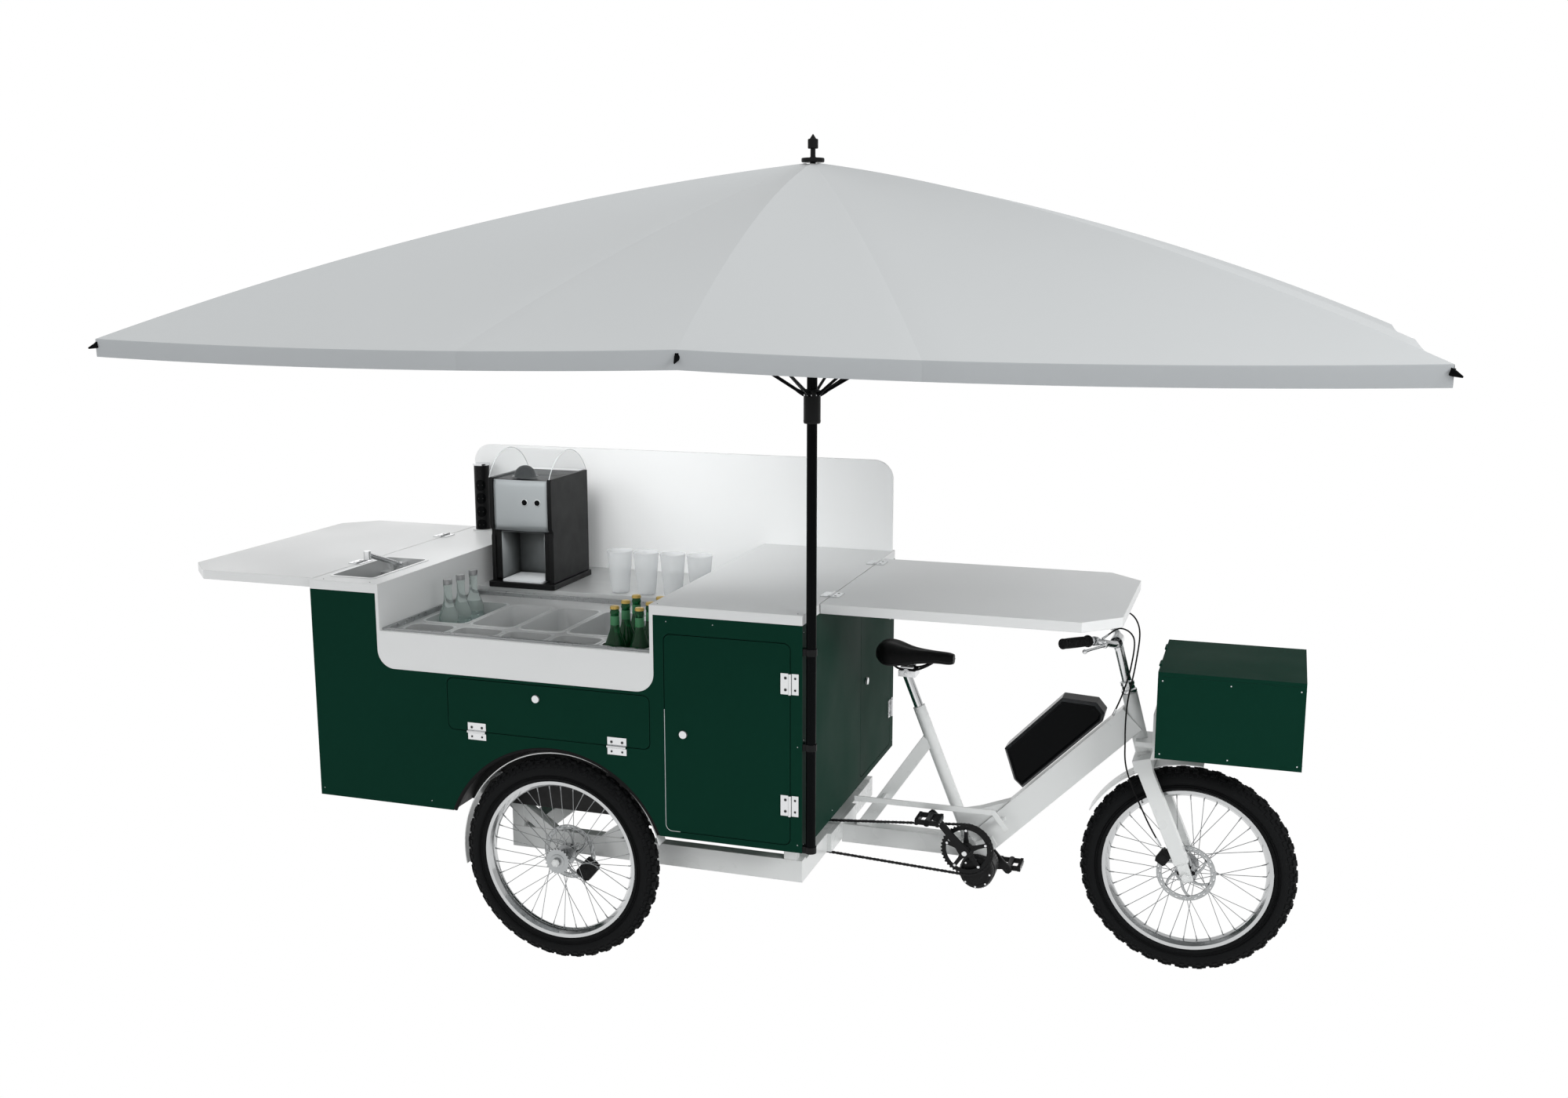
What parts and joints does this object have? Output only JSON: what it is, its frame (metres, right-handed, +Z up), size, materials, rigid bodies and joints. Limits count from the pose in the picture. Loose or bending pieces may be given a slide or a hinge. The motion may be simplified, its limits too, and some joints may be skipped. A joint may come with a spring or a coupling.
{
  "type": "food cart tricycle",
  "caption": "Pedal tricycle food cart: a counter cabinet over the rear axle with doors, flaps, pans and sink, a cycle front end with a box, and a folding parasol.",
  "frame": {"origin": "on the ground, at the centre of the bounding box in plan", "axes": "+X forwards to the front wheel, +Y to the rider's left, +Z up"},
  "size_m": [3.8368, 2.1488, 2.5378],
  "materials": {
    "green_panel": "smooth matt paint",
    "white_counter": "smooth satin paint",
    "steel": "brushed",
    "bright_metal": "polished",
    "black_plastic": "fine grain",
    "clear_plastic": "clear",
    "bottle_glass": "clear",
    "white_frame": "gloss paint",
    "dark_metal": "satin black",
    "black_rubber": "matt",
    "saddle_cover": "fine grain",
    "wheel_metal": "satin",
    "tyre_rubber": "matt tread",
    "canopy_cloth": "woven"
  },
  "bodies": {
    "cart": {"cabinet": "green_panel", "counter": "white_counter", "splash_back": "white_counter", "steel_worktop": "steel", "food_pans": "steel", "counter_fittings": "steel", "dispenser": "black_plastic", "counter_goods": "bottle_glass", "chassis": "white_frame", "rear_calipers": "dark_metal", "bike_frame": "white_frame", "drive_chain": "dark_metal", "drive_motor": "black_plastic", "battery": "black_plastic", "front_box": "green_panel", "mast_clamps": "dark_metal"},
    "side_door_leaf": {"side_door": "green_panel"},
    "drop_hatch_leaf": {"drop_hatch": "green_panel"},
    "front_door_leaf": {"front_door": "green_panel"},
    "rear_flap_leaf": {"rear_flap": "white_counter"},
    "front_flap_leaf": {"front_flap": "white_counter"},
    "tap_arm": {"tap": "bright_metal"},
    "tower": {"power_tower": "black_plastic"},
    "hood": {"dispenser_hood": "clear_plastic"},
    "left_button": {"button_left": "black_plastic"},
    "right_button": {"button_right": "black_plastic"},
    "jack_shaft": {"jackshaft": "dark_metal"},
    "box_lid": {"front_box_lid": "green_panel"},
    "steering": {"fork": "white_frame", "front_fender": "white_frame", "front_caliper": "dark_metal", "handlebar": "bright_metal", "grips": "black_rubber", "brake_cables": "black_rubber"},
    "right_lever": {"brake_lever_right": "bright_metal"},
    "left_lever": {"brake_lever_left": "bright_metal"},
    "seat": {"seat_post": "bright_metal", "saddle": "saddle_cover"},
    "cranks": {"crankset": "dark_metal"},
    "right_pedal": {"pedal_right": "black_plastic"},
    "left_pedal": {"pedal_left": "black_plastic"},
    "front_roller": {"front_wheel": "wheel_metal", "front_tyre": "tyre_rubber"},
    "right_roller": {"rear_wheel_right": "wheel_metal", "rear_tyre_right": "tyre_rubber"},
    "left_roller": {"rear_wheel_left": "wheel_metal", "rear_tyre_left": "tyre_rubber"},
    "mast": {"parasol_mast": "dark_metal", "parasol_finial": "dark_metal", "parasol_canopy": "canopy_cloth"},
    "runner": {"parasol_runner": "dark_metal", "parasol_struts": "dark_metal"},
    "arm_front": {"rib_front": "dark_metal"},
    "arm_front_left": {"rib_front_left": "dark_metal"},
    "arm_left": {"rib_left": "dark_metal"},
    "arm_rear_left": {"rib_rear_left": "dark_metal"},
    "arm_rear": {"rib_rear": "dark_metal"},
    "arm_rear_right": {"rib_rear_right": "dark_metal"},
    "arm_right": {"rib_right": "dark_metal"},
    "arm_front_right": {"rib_front_right": "dark_metal"}
  },
  "joints": [
    {"name": "side_door_hinge", "type": "hinge", "parent": "cart", "child": "side_door_leaf", "pos_m": [0.26283, -0.06998, 0.78], "axis": [0, 0, 1], "range_deg": [0, 115]},
    {"name": "drop_hatch_hinge", "type": "hinge", "parent": "cart", "child": "drop_hatch_leaf", "pos_m": [-0.53842, -0.06998, 0.72375], "axis": [1, 0, 0], "range_deg": [0, 92]},
    {"name": "front_door_hinge", "type": "hinge", "parent": "cart", "child": "front_door_leaf", "pos_m": [0.30498, 0.99167, 0.78], "axis": [0, 0, 1], "range_deg": [0, 110]},
    {"name": "rear_flap_hinge", "type": "hinge", "parent": "cart", "child": "rear_flap_leaf", "pos_m": [-1.38242, 0.48542, 1.184], "axis": [0, 1, 0], "range_deg": [0, 92]},
    {"name": "front_flap_hinge", "type": "hinge", "parent": "cart", "child": "front_flap_leaf", "pos_m": [0.30158, 0.48542, 1.184], "axis": [0, -1, 0], "range_deg": [0, 75]},
    {"name": "tap_fold", "type": "hinge", "parent": "cart", "child": "tap_arm", "pos_m": [-1.28842, 0.32142, 1.164], "axis": [1, 0, 0], "range_deg": [-50, 25]},
    {"name": "tower_slide", "type": "slide", "parent": "cart", "child": "tower", "axis": [0, 0, 1], "range_m": [-0.24, 0]},
    {"name": "hood_hinge", "type": "hinge", "parent": "cart", "child": "hood", "pos_m": [-0.95042, 0.87342, 1.446], "axis": [-1, 0, 0], "range_deg": [0, 65]},
    {"name": "button_left_press", "type": "slide", "parent": "cart", "child": "left_button", "axis": [0, 1, 0], "range_m": [0, 0.003], "stiffness_N_per_m": 300},
    {"name": "button_right_press", "type": "slide", "parent": "cart", "child": "right_button", "axis": [0, 1, 0], "range_m": [0, 0.003], "stiffness_N_per_m": 300},
    {"name": "crank_spin", "type": "hinge", "parent": "cart", "child": "cranks", "pos_m": [0.70458, 0.48542, 0.331], "axis": [0, 1, 0], "continuous": true},
    {"name": "jackshaft_spin", "type": "hinge", "parent": "cart", "child": "jack_shaft", "pos_m": [0.01958, 0.48542, 0.318], "axis": [0, 1, 0], "continuous": true},
    {"name": "pedal_right_spin", "type": "hinge", "parent": "cranks", "child": "right_pedal", "pos_m": [0.59752, 0.33542, 0.4499], "axis": [0, 1, 0], "continuous": true},
    {"name": "pedal_left_spin", "type": "hinge", "parent": "cranks", "child": "left_pedal", "pos_m": [0.81165, 0.63542, 0.2121], "axis": [0, 1, 0], "continuous": true},
    {"name": "steer", "type": "hinge", "parent": "cart", "child": "steering", "pos_m": [1.23958, 0.48542, 0.7], "axis": [-0.2588, 0, 0.9659], "range_deg": [-25, 25], "deforming": ["brake_cables"]},
    {"name": "brake_right_squeeze", "type": "hinge", "parent": "steering", "child": "right_lever", "pos_m": [1.1277, 0.32542, 1.0659], "axis": [0, 0, -1], "range_deg": [0, 9], "stiffness_Nm_per_rad": 1.5},
    {"name": "brake_left_squeeze", "type": "hinge", "parent": "steering", "child": "left_lever", "pos_m": [1.1277, 0.64542, 1.0659], "axis": [0, 0, 1], "range_deg": [0, 9], "stiffness_Nm_per_rad": 1.5},
    {"name": "front_wheel_spin", "type": "hinge", "parent": "steering", "child": "front_roller", "pos_m": [1.38958, 0.48542, 0.33], "axis": [0, 1, 0], "continuous": true},
    {"name": "rear_right_spin", "type": "hinge", "parent": "cart", "child": "right_roller", "pos_m": [-0.50442, -0.04758, 0.33], "axis": [0, 1, 0], "continuous": true},
    {"name": "rear_left_spin", "type": "hinge", "parent": "cart", "child": "left_roller", "pos_m": [-0.50442, 1.01842, 0.33], "axis": [0, 1, 0], "continuous": true},
    {"name": "seat_height", "type": "slide", "parent": "cart", "child": "seat", "axis": [-0.3756, 0, 0.9268], "range_m": [-0.09, 0.12]},
    {"name": "box_lid_hinge", "type": "hinge", "parent": "cart", "child": "box_lid", "pos_m": [1.28958, 0.48542, 1.0084], "axis": [0, -1, 0], "range_deg": [0, 100]},
    {"name": "mast_lift", "type": "slide", "parent": "cart", "child": "mast", "axis": [0, 0, 1], "range_m": [0, 0.4]},
    {"name": "runner_slide", "type": "slide", "parent": "mast", "child": "runner", "axis": [0, 0, 1], "range_m": [-0.188, 0], "deforming": ["parasol_struts", "parasol_canopy"]},
    {"name": "fold_front", "type": "hinge", "parent": "mast", "child": "arm_front", "pos_m": [0.36058, -0.04958, 2.44], "axis": [0, 1, 0], "range_deg": [0, 15.6]},
    {"name": "fold_front_left", "type": "hinge", "parent": "mast", "child": "arm_front_left", "pos_m": [0.3546, -0.02911, 2.44], "axis": [-0.5386, 0.8426, 0], "range_deg": [0, 15.6]},
    {"name": "fold_left", "type": "hinge", "parent": "mast", "child": "arm_left", "pos_m": [0.32258, -0.01158, 2.44], "axis": [-1, 0, 0], "range_deg": [0, 15.6]},
    {"name": "fold_rear_left", "type": "hinge", "parent": "mast", "child": "arm_rear_left", "pos_m": [0.29057, -0.02911, 2.44], "axis": [-0.5386, -0.8426, 0], "range_deg": [0, 15.6]},
    {"name": "fold_rear", "type": "hinge", "parent": "mast", "child": "arm_rear", "pos_m": [0.28458, -0.04958, 2.44], "axis": [0, -1, 0], "range_deg": [0, 15.6]},
    {"name": "fold_rear_right", "type": "hinge", "parent": "mast", "child": "arm_rear_right", "pos_m": [0.29057, -0.07004, 2.44], "axis": [0.5386, -0.8426, 0], "range_deg": [0, 15.6]},
    {"name": "fold_right", "type": "hinge", "parent": "mast", "child": "arm_right", "pos_m": [0.32258, -0.08758, 2.44], "axis": [1, 0, 0], "range_deg": [0, 15.6]},
    {"name": "fold_front_right", "type": "hinge", "parent": "mast", "child": "arm_front_right", "pos_m": [0.3546, -0.07004, 2.44], "axis": [0.5386, 0.8426, 0], "range_deg": [0, 15.6]}
  ],
  "couplings": [
    {"joint": "jackshaft_spin", "follows": "crank_spin", "ratio": 2.1},
    {"joint": "fold_front", "follows": "runner_slide", "rad_per_m": -1.439},
    {"joint": "fold_front_left", "follows": "runner_slide", "rad_per_m": -1.439},
    {"joint": "fold_left", "follows": "runner_slide", "rad_per_m": -1.439},
    {"joint": "fold_rear_left", "follows": "runner_slide", "rad_per_m": -1.439},
    {"joint": "fold_rear", "follows": "runner_slide", "rad_per_m": -1.439},
    {"joint": "fold_rear_right", "follows": "runner_slide", "rad_per_m": -1.439},
    {"joint": "fold_right", "follows": "runner_slide", "rad_per_m": -1.439},
    {"joint": "fold_front_right", "follows": "runner_slide", "rad_per_m": -1.439}
  ]
}
